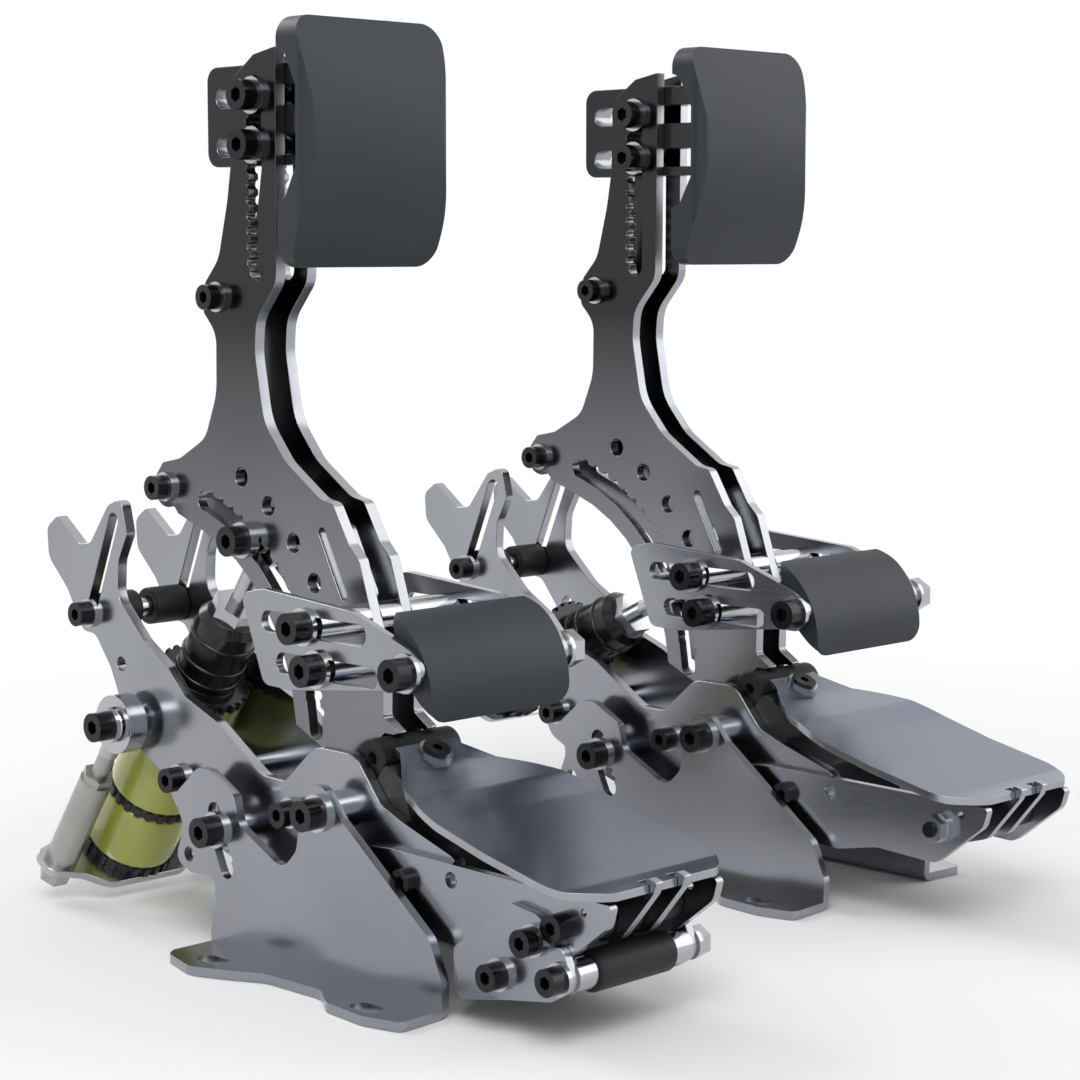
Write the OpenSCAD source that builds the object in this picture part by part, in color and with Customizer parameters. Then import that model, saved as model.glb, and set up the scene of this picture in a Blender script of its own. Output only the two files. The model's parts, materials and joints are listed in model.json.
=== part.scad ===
// Pair of sim racing pedals: brake on the left (-X), throttle on the right (+X).
// +X is the driver's right, +Y points away from the driver, +Z is up.
// Each pedal is drawn about its own centre plane, with y from its pivot line and z from the floor.

/* [Pedal set] */
// Distance between the centre planes of the two pedals
pedal_pitch = 180; // [170:1:230]
// Height of the pivot line above the floor
pivot_z = 54; // [54:0.5:55]

/* [Sheet plates] */
// Thickness of each arm plate
arm_t = 4; // [3:0.5:5]
// Clear gap between the two arm plates of a pedal
arm_gap = 9; // [9:0.5:10]
// Thickness of each frame plate
frame_t = 4; // [3:0.5:4]
// Clear gap between the two frame plates
frame_gap = 34.2; // [34.2:0.2:35]
// Thickness of the plates beside the heel rest
heel_side_t = 3; // [2.5:0.5:3]
// Thickness of the small link plates under the brake's heel rest
link_t = 3; // [2.5:0.5:3]
// Thickness of the bent foot brackets
foot_t = 3; // [2.5:0.5:4]
// Distance from the centre plane to the inner face of a foot bracket
foot_in = 27.5; // [27.5:0.5:29]
// Thickness of the heel plate
heel_plate_t = 2.5; // [2:0.5:3]
// Half of the heel plate's width
heel_half_w = 34.5; // [33:0.5:38]
// Thickness of the ribs that hook into the heel plate
rib_t = 3; // [2.5:0.5:4]

/* [Pads] */
// Width of the main pad
pad_w = 60; // [56:1:64]
// Height of the main pad
pad_h = 76.6; // [70:0.2:80]
// Radius of the main pad's curved face
pad_face_r = 90.8; // [86:0.2:100]
// Wall of both pads
pad_wall = 3; // [2.5:0.5:3.5]
// Width of the lower pad
lower_pad_w = 58; // [56:1:58]
// Radius of the lower pad's curved face
lower_pad_r = 28; // [27:0.5:30]
// Thickness of the brackets that carry the lower pad
bracket_t = 3; // [2.5:0.5:4]

/* [Fasteners and pins] */
// Thread of the large cap screws
screw_big = 6; // [5.5:0.1:6]
// Thread of the small cap screws
screw_small = 5; // [4.5:0.1:5]
// Height of a washer
washer_h = 1.6; // [1:0.1:2]
// Diameter of the pivot axle
axle_d = 8; // [8:0.5:9]
// Outer diameter of the pivot bushes
bush_d = 12; // [12:0.5:13]
// Outer diameter of the bright spacer tubes
tube_d = 10; // [9.5:0.5:11]
// Width of the adjustment slots
slot_w = 6.5; // [6.5:0.1:7]
// Radial clearance of a running fit
run_fit = 0.05; // [0.03:0.01:0.08]
// Radial clearance of a screw in its hole
screw_fit = 0.2; // [0.15:0.05:0.3]

/* [Rubber parts] */
// Diameter of the bar that the arms rest on
bumper_d = 12.4; // [11:0.2:12.4]
// Diameter of the sleeves on the fork bolt
stop_sleeve_d = 13; // [11:0.5:14]
// Diameter of the heel rollers
roller_d = 12.5; // [11:0.5:13]

/* [Force units] */
// Distance from the side bolts to the bolt in the arms' curved slot
unit_reach = 79; // [78.5:0.1:79.5]
// Direction of the brake's force unit in the side view
brake_angle = 125; // [124:0.5:126]
// Direction of the throttle's force unit in the side view
throttle_angle = 154; // [153:0.5:154]
// Distance from the centre plane to each side rod
side_rod_x = 28; // [28:0.1:28.6]
// Diameter of the brake's elastomers
elastomer_d = 32; // [30:0.5:32]
// Height of one elastomer
elastomer_h = 22.5; // [21:0.5:22.5]
// Height of one toothed separator
separator_h = 3.5; // [3:0.5:4]
// Diameter of the toothed discs
disc_d = 33; // [32:0.5:33]
// Number of teeth round a disc
disc_teeth = 24; // [16:1:30]
// Wire diameter of the throttle's spring
spring_wire = 2.5; // [2.2:0.1:2.6]
// Mean diameter of the throttle's spring
spring_mean_d = 25; // [23:0.5:26]
// Number of free curls of the throttle's spring
spring_curls = 4; // [3:1:4]
// Play of the brake's rod end on its ball
brake_eye_play = 0.3; // [0.25:0.05:0.4]
// Play of the throttle's rod end on its ball
throttle_eye_play = 0.8; // [0.7:0.05:0.9]

/* [Hidden] */
$fn = 48;
// Fineness of small turned parts
small_fn = 24;

// Fineness of drawn arcs, in degrees a step
arc_step = 9;
// The two pedals' centre planes
brake_x = -pedal_pitch / 2;
throttle_x = pedal_pitch / 2;
// Rearmost and foremost points of the side view, used to centre the set on the floor
rear_y = 157.75;
front_y = -120.72;
centre_y = -(rear_y + front_y) / 2;

// Layers of plates, measured from the centre plane
arm_in = arm_gap / 2;
arm_out = arm_in + arm_t;
frame_in = frame_gap / 2;
frame_out = frame_in + frame_t;
heel_side_out = frame_out + heel_side_t;
link_out = heel_side_out + link_t;
foot_out = foot_in + foot_t;
bracket_in = lower_pad_w / 2;
bracket_out = bracket_in + bracket_t;
pad_half = pad_w / 2;

// Side view positions: [y, z]
pivot = [0, pivot_z];
unit_hinge = [106, 68];
slot_low_z = 217.7;
slot_high_z = 283.2;
slot_y = 54.9;
pad_bolt_z = [261, 276.8];
upper_spacer = [74.5, 212];
stop_rod = [104.5, 147.3];
lower_bolts = [[4, 112], [-2, 99.5]];
lower_pad_bolt = [-43, 103];
fork_bolt = [132.5, 102.5];
frame_bolt = [82.5, 51.5];
small_frame_bolt = [24.3, 48.9];
tilt_bolt = [51.3, 40.5];
bumper_at = [-9, 70.3];
heel_roller_at = [-99.5, 35.6];
link_roller_at = [-102, 21.2];
link_bolts = [[-77.5, 17.7], [-91.6, 30.6]];
block_bolts = [[-20, 31], [-33, 37]];
lower_pad_centre = [-22.45, 93.4];

// Cap screw proportions
head_ratio = 1.65;
hex_ratio = 0.84;
hex_floor = 0.45;
low_head_ratio = 0.55;
nut_ratio = 1.75;
nut_h_ratio = 0.75;

// Rod ends
ball_w = 9;
ball_r = 6.35;
eye_r = 10;
eye_w = 7;
rod_d = 6;
side_sleeve_d = 12;
ear_half_w = 36;
base_t = 3;
base_r = 16;
guide_rod_d = 10;
guide_fit = 0.25;

// Stations along a force unit, from the side bolts towards the arms
flange_low = 14;
adjuster_top = 45;
jam_nut_top = 50;
adjuster_d = 22;
jam_nut_d = 17;
stack_low = flange_low - 3 * elastomer_h - 2 * separator_h;
cell_h = 3.5;
brake_base_z = stack_low - cell_h - base_t;
soft_ring_h = 8;
spring_high = flange_low - soft_ring_h;
spring_low = -24;
throttle_base_z = spring_low - cell_h - base_t;
nut_end = 6.5;
guide_up = 22;

// Side view outlines: [y, z, corner radius]
arm_front = [
  [44.2, 291.8, 4], [44.8, 217, 8], [55.3, 205, 12], [56.2, 194, 20], [52, 172, 20], [41, 159.4, 14],
  [24, 148.6, 8], [17.7, 147.5, 3], [10, 135, 6], [5.4, 130.6, 3], [-0.6, 113, 10], [-6, 100, 10],
  [-5.5, 82, 2], [-12.5, 77.6, 1.5], [-10.6, 76.85, 0.5], [-6.2, 76.9, 1.5], [-1.6, 73, 2], [-2.6, 66, 1]
];
arm_rear = [
  [106.6, 155.6, 4], [97, 157.5, 6], [83, 165, 10], [76.7, 180, 20], [76.4, 200, 10], [83.2, 207, 3],
  [82, 216.6, 3], [74.6, 224.5, 12], [69.6, 243.3, 30], [67.4, 256, 20], [66.8, 282.1, 6], [55.3, 289.8, 10]
];
frame_outline = [
  [151.4, 135, 1.5], [157.9, 130.5, 4], [157.2, 120, 6], [146.5, 110, 6], [137.2, 95.8, 4],
  [130, 95.3, 5], [121.4, 84.6, 8], [116.4, 74.5, 8], [106.3, 58.6, 10], [92, 51.5, 8],
  [86, 41.5, 8], [68, 33, 8], [40, 24, 10], [-40, 21.5, 8], [-52, 26, 6], [-52, 46.5, 4],
  [-28, 54, 8], [-18, 58, 8], [-6.5, 71.8, 9], [13, 71.8, 9], [28, 58.6, 4], [39.5, 58.8, 8],
  [63, 73.2, 8], [80, 79.5, 8], [89, 88.3, 4], [102.4, 96, 10], [116.8, 109.5, 8], [116, 122, 8],
  [110.8, 131.5, 3], [113.9, 143.7, 3], [121.5, 140.6, 4], [132, 126.9, 3], [139, 126, 3]
];
foot_outline = [
  [54.8, 0, 0], [55.1, 6.1, 4], [52.3, 16, 5], [52.9, 24.6, 3], [65, 23.8, 8], [73.6, 27, 4],
  [68.8, 38.9, 6], [74.2, 48.2, 2], [61, 59.6, 5], [54.4, 59.6, 4], [42.1, 53.1, 3], [39.6, 43.5, 5],
  [18, 32.9, 10], [11.2, 40, 5], [8.6, 53.5, 5], [4, 62.4, 5], [-2.5, 62.4, 5], [-10.4, 53.4, 5],
  [-50.2, 23.5, 8], [-55.9, 11, 6], [-55.4, 0, 0]
];
flange_outline = [
  [49.8, 52, 4], [54.4, 35.7, 8], [48, 21, 12], [43, 12, 12], [42.2, -15, 12], [49.6, -25, 8],
  [51.2, -43, 6], [47.6, -56.8, 3], [27.5, -55.4, 0], [27.5, 54.8, 0], [46, 54.8, 2]
];
heel_side_outline = [
  [-14, 45, 3], [-25, 46, 4], [-119, 44.8, 1.5], [-117, 38, 5], [-98, 23, 6], [-73.2, 24.4, 8],
  [-56.7, 21.1, 6], [-40, 22, 4], [-14, 25, 3]
];
link_outline = [
  [-57.2, 9.6, 2], [-59, 6.2, 2], [-80, 10.4, 8], [-98, 13.4, 5], [-107.5, 19, 5], [-103, 29, 4],
  [-92.5, 38.2, 6], [-81, 39.8, 4], [-57.2, 22, 3]
];
rib_outline = [
  [-119.6, 45.3, 0.8], [-121, 48.9, 0.8], [-117.4, 49.8, 0.8], [-114.6, 45.6, 1], [-103, 45.9, 2],
  [-92, 43.5, 4], [-91.5, 31, 5], [-98, 27.3, 5], [-107, 30, 5]
];
bracket_outline = [
  [35.7, 119.6, 3], [24.7, 122, 8], [-17.3, 119, 10], [-42, 110.5, 8], [-49.6, 104, 5], [-44.5, 96.6, 4],
  [-35.3, 96.6, 8], [11.5, 91.2, 10], [24.6, 91.6, 4]
];
block_outline = [
  [-14.6, 24.6, 1], [-38, 24.6, 3], [-38, 46, 3], [-27, 55, 4], [-24.6, 65.4, 1], [-16.6, 69.4, 1],
  [-12.6, 66, 0.5], [-12.2, 58, 2], [-13.2, 46, 3]
];
heel_profile = [
  [-118, 48], [-108, 48.5], [-92, 52], [-78, 55], [-58, 60.5], [-45, 65], [-27, 68.6], [-15.6, 74.2]
];
heel_plan = [
  [22, -119], [34.5, -107], [34.5, -44], [12.5, -18], [12.5, -12]
];
arm_holes = [[64.1, 153.1], [50.3, 144.5], [37.7, 133.4], [27.4, 121.3]];
// Small holes and the narrow slot that lighten the plates
small_hole_d = 5;
foot_hole_at = [66.3, 29.9];
frame_hole_at = [115.2, 86.5];
heel_hole_at = [-53, 40.8];
heel_rear_hole_at = [-108, 41];
heel_rear_hole_d = 2.4;
arm_small_hole_at = [30.5, 83.6];
arm_small_hole_d = 3.5;
arm_narrow_slot = [[23.4, 137.8], [13, 118.6]];
arm_narrow_slot_w = 3.4;

// Place and tilt of the screw through the tongue's last stretch
tongue_a = heel_profile[6];
tongue_b = heel_profile[7];
heel_screw_at = tongue_a + (tongue_b - tongue_a) * 0.57;
heel_screw_tilt = atan2(tongue_b[1] - tongue_a[1], tongue_b[0] - tongue_a[0]);

// Direction in the side view
function dir(a) = [cos(a), sin(a)];
function unit(v) = v / norm(v);
function flat(p) = [p[0], p[1]];

// Fillet arc of radius r (or less, if the sides are short) at corner b between a and c
function corner_arc(a, b, c, r) =
  let (u = unit(a - b), v = unit(c - b))
  let (half = acos(max(-1, min(1, u * v))) / 2)
  let (room = 0.49 * min(norm(a - b), norm(c - b)))
  let (cut = min(r / tan(half), room), rr = cut * tan(half))
  let (m = b + unit(u + v) * rr / sin(half))
  let (p = b + u * cut - m, q = b + v * cut - m)
  let (n = max(1, ceil((180 - 2 * half) / arc_step)))
  let (turn = p[0] * q[1] - p[1] * q[0] > 0 ? 1 : -1)
  [for (i = [0:n]) let (t = turn * (180 - 2 * half) * i / n)
    m + [p[0] * cos(t) - p[1] * sin(t), p[0] * sin(t) + p[1] * cos(t)]];

// Outline with every corner rounded to the radius given as its third number
function rounded(pts) = [
  for (i = [0:len(pts) - 1])
    let (n = len(pts), b = pts[i], a = pts[(i + n - 1) % n], c = pts[(i + 1) % n])
    each (b[2] == 0 ? [flat(b)] : corner_arc(flat(a), flat(b), flat(c), b[2]))
];

function arc_points(c, r, a0, a1) =
  let (n = max(2, ceil(abs(a1 - a0) / arc_step)))
  [for (i = [0:n]) c + r * dir(a0 + (a1 - a0) * i / n)];

// Turns a drawing in (y, z) into a plate that starts at x0 and is t thick
module plate(x0, t) {
  translate([x0, 0, 0])
    rotate([90, 0, 90])
      linear_extrude(height = t)
        children();
}

// Round bar along X from x0 to x1
module bar(at, d, x0, x1, n = $fn) {
  translate([x0, at[0], at[1]])
    rotate([0, 90, 0])
      cylinder(d = d, h = x1 - x0, $fn = n);
}

// Hexagonal bar along X, width over corners d
module hex_bar(at, d, x0, x1) {
  translate([x0, at[0], at[1]])
    rotate([0, 90, 0])
      cylinder(d = d, h = x1 - x0, $fn = 6);
}

// Straight slot along X through a plate, between two centres
module slot(a, b, w, x0, x1) {
  t = atan2(b[1] - a[1], b[0] - a[0]);
  plate(x0, x1 - x0)
    polygon(concat(arc_points(a, w / 2, t + 90, t + 270), arc_points(b, w / 2, t - 90, t + 90)));
}

// Half round notch of radius r in a wall, at p, opening along angle a
function notch(p, r, a, turn) = [for (t = [-90:30:90]) p + r * dir(a + turn * t)];

// Upright slot with notches along its +y wall
module toothed_slot(y, z0, z1, w, x0, x1) {
  plate(x0, x1 - x0)
    polygon(concat(
      arc_points([y, z0], w / 2, 180, 360),
      [for (z = [z0 + tooth_pitch / 2:tooth_pitch:z1 - tooth_pitch / 2]) each notch([y + w / 2, z], tooth_d / 2, 0, 1)],
      arc_points([y, z1], w / 2, 0, 180)));
}

// Slot along an arc through a plate, notched every step degrees on its outer (side 1) or inner (side -1) wall
module arc_slot(c, r, a0, a1, w, x0, x1, step, side, tooth) {
  outer = side > 0
    ? [for (a = [a0 + step / 2:step:a1 - step / 2]) each notch(c + (r + w / 2) * dir(a), tooth / 2, a, 1)]
    : arc_points(c, r + w / 2, a0, a1);
  inner = side < 0
    ? [for (a = [a1 - step / 2:-step:a0 + step / 2]) each notch(c + (r - w / 2) * dir(a), tooth / 2, a + 180, 1)]
    : arc_points(c, r - w / 2, a1, a0);
  plate(x0, x1 - x0)
    polygon(concat(
      arc_points(c + r * dir(a0), w / 2, a0 + 180, a0 + 360),
      outer,
      arc_points(c + r * dir(a1), w / 2, a1, a1 + 180),
      inner));
}

// Cap screw along X: the head's underside is at x, s is +1 or -1 for the way the head points
// and head is the head's height
module cap_screw(at, d, x, s, shank, head = 0) {
  h = head > 0 ? head : d;
  difference() {
    union() {
      bar(at, d * head_ratio, min(x, x + s * h), max(x, x + s * h));
      bar(at, d, min(x, x - s * shank), max(x, x - s * shank));
    }
    hex_bar(at, d * hex_ratio, min(x + s * h * hex_floor, x + s * (h + 1)), max(x + s * h * hex_floor, x + s * (h + 1)));
  }
}

// Ring along X with its near face at x, growing in direction s
module ring(at, outer, inner, x, s, h) {
  difference() {
    bar(at, outer, min(x, x + s * h), max(x, x + s * h), small_fn);
    bar(at, inner, min(x, x + s * h) - 1, max(x, x + s * h) + 1, small_fn);
  }
}

module washer(at, d, x, s) {
  ring(at, d * 2, d + 2 * screw_fit, x, s, washer_h);
}

// Hexagonal nut along X with its seat at x
module nut(at, d, x, s) {
  h = d * nut_h_ratio;
  difference() {
    hex_bar(at, d * nut_ratio / cos(30), min(x, x + s * h), max(x, x + s * h));
    bar(at, d + 2 * screw_fit, min(x, x + s * h) - 1, max(x, x + s * h) + 1);
  }
}

// Screw from one side with washers at both ends and a nut on the other side; the clamped
// stack runs from -reach to reach and s is the side of the head
module through_screw(at, d, reach, s) {
  cap_screw(at, d, s * (reach + washer_h), s, 2 * (reach + washer_h) + d * nut_h_ratio + 1);
}

module through_nut(at, d, reach, s) {
  washer(at, d, s * reach, s);
  washer(at, d, -s * reach, -s);
  nut(at, d, -s * (reach + washer_h), -s);
}

// Puts a pedal at its place in the set
module at_pedal(x) {
  translate([x, centre_y, 0])
    children();
}

// Frame of a force unit: the origin is on the side bolts and +Z runs towards the arms
module along_unit(a) {
  translate([0, unit_hinge[0], unit_hinge[1]])
    rotate([a - 90, 0, 0])
      children();
}

function slot_bolt(a) = unit_hinge + unit_reach * dir(a);

// Reach at which the arms' side view is drawn. Their holes and their lower front edge keep
// their distance from the curved slot when the reach changes.
drawn_reach = 79;
function beside_slot(p) = flat(p) + (unit_reach - drawn_reach) * unit(flat(p) - unit_hinge);
// Stretch of the front edge that follows the slot. Below it the edge rests on the bar.
follow_low_z = 90;
follow_top_z = 165;
arm_front_edge = [
  for (p = arm_front)
    let (q = p[1] > follow_low_z && p[1] < follow_top_z ? beside_slot(p) : flat(p))
      [q[0], q[1], p[2]]
];

// Fixed frame

// Bent foot bracket: upright web, outward flange and slots for the rig's bolts; s is its side
module foot_bracket(s) {
  bend_out = foot_t + 1;
  color("silver")
    mirror([s < 0 ? 1 : 0, 0, 0])
      difference() {
        union() {
          plate(foot_in, foot_t)
            polygon(rounded(foot_outline));
          linear_extrude(height = foot_t)
            polygon(rounded(flange_outline));
        }
        // Outer radius of the bend
        difference() {
          translate([foot_in - 1, -70, -1])
            cube([bend_out + 1, 140, bend_out + 1]);
          translate([foot_in + bend_out, -71, bend_out])
            rotate([-90, 0, 0])
              cylinder(r = bend_out, h = 142);
        }
        for (y = [-38, 36])
          translate([flange_slot_x, y, -1])
            for (e = [-1, 1]) {
              translate([0, e * (flange_slot_l - flange_slot_w) / 2, 0])
                cylinder(d = flange_slot_w, h = foot_t + 2);
              translate([-flange_slot_w / 2, -(flange_slot_l - flange_slot_w) / 2, 0])
                cube([flange_slot_w, flange_slot_l - flange_slot_w, foot_t + 2]);
            }
        bar(pivot, screw_big + 2 * screw_fit, foot_in - 1, foot_out + 1);
        arc_slot(pivot, tilt_slot_r, tilt_slot_from, tilt_slot_to, slot_w, foot_in - 1, foot_out + 1,
                 tilt_tooth_step, -1, tilt_tooth_d);
        bar(foot_hole_at, small_hole_d, foot_in - 1, foot_out + 1);
      }
}

flange_slot_x = 44.5;
flange_slot_w = 6.6;
flange_slot_l = 12;
tilt_slot_r = norm(tilt_bolt - pivot);
tilt_slot_from = -29;
tilt_tooth_step = 4;
tilt_tooth_d = 2.4;
tilt_slot_to = -8.5;

// Fork shaped frame plate
module frame_plate(s) {
  x0 = s > 0 ? frame_in : -frame_out;
  x1 = x0 + frame_t;
  color("lightsteelblue")
    difference() {
      plate(x0, frame_t)
        polygon(rounded(frame_outline));
      bar(pivot, axle_d + 2 * run_fit, x0 - 1, x1 + 1);
      bar(unit_hinge, screw_big + 2 * run_fit, x0 - 1, x1 + 1);
      bar(frame_bolt, screw_small + 2 * screw_fit, x0 - 1, x1 + 1);
      bar(small_frame_bolt, screw_small + 2 * screw_fit, x0 - 1, x1 + 1);
      bar(tilt_bolt, screw_big + 2 * screw_fit, x0 - 1, x1 + 1);
      bar(frame_hole_at, small_hole_d, x0 - 1, x1 + 1);
      slot([118.5, 135.5], fork_bolt, screw_small + 2 * screw_fit, x0 - 1, x1 + 1);
      for (p = block_bolts)
        bar(p, screw_small + 2 * screw_fit, x0 - 1, x1 + 1);
    }
}

// Plates beside the heel rest
module heel_sides(with_link) {
  color("silver")
    for (s = [-1, 1]) {
      x0 = s > 0 ? frame_out : -heel_side_out;
      difference() {
        plate(x0, heel_side_t)
          polygon(rounded(heel_side_outline));
        bar(heel_roller_at, screw_small + 2 * screw_fit, x0 - 1, x0 + heel_side_t + 1);
        bar(heel_hole_at, small_hole_d, x0 - 1, x0 + heel_side_t + 1);
        bar(heel_rear_hole_at, heel_rear_hole_d, x0 - 1, x0 + heel_side_t + 1);
        for (p = block_bolts)
          bar(p, screw_small + 2 * screw_fit, x0 - 1, x0 + heel_side_t + 1);
        if (with_link) {
          for (p = link_bolts)
            bar(p, screw_small + 2 * run_fit, x0 - 1, x0 + heel_side_t + 1);
          bar(link_roller_at, tube_d + 2 * tube_room, x0 - 1, x0 + heel_side_t + 1);
        }
      }
    }
  color("silver")
    for (s = [-1, 1]) {
      x0 = s > 0 ? arm_in : -arm_in - rib_t;
      difference() {
        plate(x0, rib_t)
          polygon(rounded(rib_outline));
        bar(heel_roller_at, screw_small + 2 * screw_fit, x0 - 1, x0 + rib_t + 1);
      }
    }
}

// Small plates that carry the lower roller of the brake
module link_plates() {
  color("silver")
    for (s = [-1, 1]) {
      x0 = s > 0 ? heel_side_out : -link_out;
      difference() {
        plate(x0, link_t)
          polygon(rounded(link_outline));
        for (p = concat(link_bolts, [link_roller_at]))
          bar(p, screw_small + 2 * screw_fit, x0 - 1, x0 + link_t + 1);
        bar(heel_roller_at, head_clear, x0 - 1, x0 + link_t + 1);
      }
    }
}

head_clear = screw_small * nut_ratio / cos(30) + 1;
tube_room = 0.4;

// Sheet under the driver's heel, with its tongue at the rear
module heel_plate() {
  n = len(heel_profile);
  over = 1;
  color("lightgray")
    difference() {
      intersection() {
        plate(-heel_half_w - over, 2 * (heel_half_w + over))
          polygon(concat(heel_profile, [for (i = [n - 1:-1:0]) heel_profile[i] - [0, heel_plate_t]]));
        linear_extrude(height = 100)
          polygon(concat(
            [for (p = heel_plan) [min(p[0], heel_half_w) + (p[0] > 30 ? heel_half_w - 34.5 : 0), p[1]]],
            [for (i = [len(heel_plan) - 1:-1:0]) let (p = heel_plan[i])
              [-min(p[0], heel_half_w) - (p[0] > 30 ? heel_half_w - 34.5 : 0), p[1]]]));
      }
      // Slots for the ribs' hooks
      for (s = [-1, 1])
        translate([s > 0 ? arm_in - rib_fit : -arm_in - rib_t - rib_fit, -122, 40])
          cube([rib_t + 2 * rib_fit, 8.6, 20]);
      heel_screw_space(screw_small + 2 * screw_fit);
    }
}

rib_fit = 0.2;

// Straight hole along the heel screw's line
module heel_screw_space(d) {
  translate([0, heel_screw_at[0], heel_screw_at[1]])
    rotate([heel_screw_tilt, 0, 0])
      translate([0, 0, -16])
        cylinder(d = d, h = 30);
}

// Block between the frame plates that carries the tongue and the rest bar
module heel_block() {
  color("dimgray")
    difference() {
      plate(-frame_in, frame_gap)
        polygon(rounded(block_outline));
      bar(bumper_at, bumper_d + 0.1, -frame_in - 1, frame_in + 1);
      heel_screw_space(screw_small + 2 * screw_fit);
      for (p = block_bolts)
        bar(p, screw_small + 2 * screw_fit, -frame_in - 1, frame_in + 1);
      // Room under the tongue
      plate(-frame_in - 1, frame_gap + 2)
        polygon(concat([for (p = heel_profile) p - [0, heel_plate_t]], [[-5, 90], [-118, 90]]));
    }
}

module rest_bumper() {
  color("black")
    bar(bumper_at, bumper_d, -frame_in + 0.6, frame_in - 0.6);
}

// Rubber sleeves on the fork bolt that end the arms' travel
module travel_stops() {
  color("black")
    for (s = [-1, 1])
      ring(fork_bolt, stop_sleeve_d, fork_tube_d, s * 3, s, frame_in - 3);
}

fork_tube_d = 7;

// Rollers under the front of the heel rest
module heel_rollers(with_link) {
  color("black")
    for (s = [-1, 0, 1])
      if (s == 0)
        ring(heel_roller_at, roller_d, screw_small + 2 * screw_fit, -arm_in, 1, 2 * arm_in);
      else
        ring(heel_roller_at, roller_d, screw_small + 2 * screw_fit, s * (arm_in + rib_t), s,
             frame_out - arm_in - rib_t);
  if (with_link)
    color("black")
      ring(link_roller_at, roller_d, screw_small + 2 * screw_fit, -link_roller_half, 1, 2 * link_roller_half);
}

link_roller_half = 16;

// Cap screws of the fixed frame
module frame_screws(with_link, head_side) {
  color("black") {
    through_screw(fork_bolt, screw_small, frame_out, -1);
    through_screw(frame_bolt, screw_small, frame_out, -1);
    for (s = [-1, 1]) {
      cap_screw(small_frame_bolt, screw_small, s * (frame_out + washer_h), s, frame_t + washer_h + 5);
      cap_screw(pivot, screw_big, s * (foot_out + washer_h), s, foot_out + washer_h - frame_out + 10);
      cap_screw(tilt_bolt, screw_big, s * (foot_out + washer_h), s, foot_out + washer_h - frame_in + 6);
      cap_screw(unit_hinge, screw_big, s * (side_rod_x + ball_w / 2 + washer_h), s,
                side_rod_x + ball_w / 2 + washer_h - frame_in - 0.2);
      for (p = block_bolts)
        cap_screw(p, screw_small, s * heel_side_out, s, block_screw_l, low_head_ratio * screw_small);
    }
    if (with_link) {
      through_screw(link_roller_at, screw_small, link_out, head_side);
      cap_screw(heel_roller_at, screw_small, head_side * heel_side_out, head_side, 2 * heel_side_out + 5);
      for (s = [-1, 1])
        for (p = link_bolts)
          cap_screw(p, screw_small, s * (link_out + washer_h), s, link_t + heel_side_t + washer_h);
    }
    else
      through_screw(heel_roller_at, screw_small, heel_side_out, head_side);
    // Countersunk screw of the tongue
    translate([0, heel_screw_at[0], heel_screw_at[1]])
      rotate([heel_screw_tilt, 0, 0])
        difference() {
          union() {
            translate([0, 0, -15])
              cylinder(d = screw_small, h = 16);
            translate([0, 0, cup_h])
              cylinder(d = screw_small * 1.8, h = 1);
          }
          translate([0, 0, cup_h - 0.5])
            cylinder(d = 3.4, h = 3, $fn = 6);
        }
  }
}

block_screw_l = 14;
cup_h = 1;
cup_d = 11;

// Bright washers, nuts and spacer tubes of the fixed frame
module frame_spacers(with_link, head_side) {
  color("gainsboro") {
    through_nut(fork_bolt, screw_small, frame_out, -1);
    through_nut(frame_bolt, screw_small, frame_out, -1);
    ring(frame_bolt, tube_d, screw_small + 2 * screw_fit, -frame_in, 1, frame_gap);
    ring(fork_bolt, fork_tube_d - 0.1, screw_small + 2 * screw_fit, -frame_in, 1, frame_gap);
    for (s = [-1, 1]) {
      washer(small_frame_bolt, screw_small, s * frame_out, s);
      nut(small_frame_bolt, screw_small, s * frame_in, -s);
      washer(pivot, screw_big, s * foot_out, s);
      ring(pivot, bush_d, screw_big + 2 * screw_fit, s * frame_out, s, foot_in - frame_out);
      ring(pivot, bush_d, axle_d + 2 * run_fit, s * (arm_out + bush_flange + side_play), s,
           frame_in - arm_out - bush_flange - side_play);
      washer(tilt_bolt, screw_big, s * foot_out, s);
      ring(tilt_bolt, bush_d, screw_big + 2 * screw_fit, s * frame_out, s, foot_in - frame_out);
      nut(tilt_bolt, screw_big, s * frame_in, -s);
      // Ball, collar and washer on each side bolt of the force unit
      translate([s * side_rod_x, 0, 0])
        joint_ball(unit_hinge);
      ring(unit_hinge, ball_w, screw_big + 2 * run_fit, s * frame_out, s, side_rod_x - ball_w / 2 - frame_out);
      washer(unit_hinge, screw_big, s * (side_rod_x + ball_w / 2), s);
    }
    if (with_link) {
      through_nut(link_roller_at, screw_small, link_out, head_side);
      for (s = [-1, 1]) {
        ring(link_roller_at, tube_d, screw_small + 2 * screw_fit, s * link_roller_half, s,
             heel_side_out - link_roller_half);
        for (p = link_bolts) {
          washer(p, screw_small, s * link_out, s);
        }
      }
      nut(heel_roller_at, screw_small, -head_side * heel_side_out, -head_side);
    }
    else
      through_nut(heel_roller_at, screw_small, heel_side_out, head_side);
    // Cup washer of the tongue's screw
    translate([0, heel_screw_at[0], heel_screw_at[1]])
      rotate([heel_screw_tilt, 0, 0])
        difference() {
          cylinder(d = cup_d, h = cup_h);
          translate([0, 0, -1])
            cylinder(d = screw_small + 2 * screw_fit, h = cup_h + 2);
        }
  }
}

bush_flange = 1;
side_play = 0.3;
axle_hole_l = 12;

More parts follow.
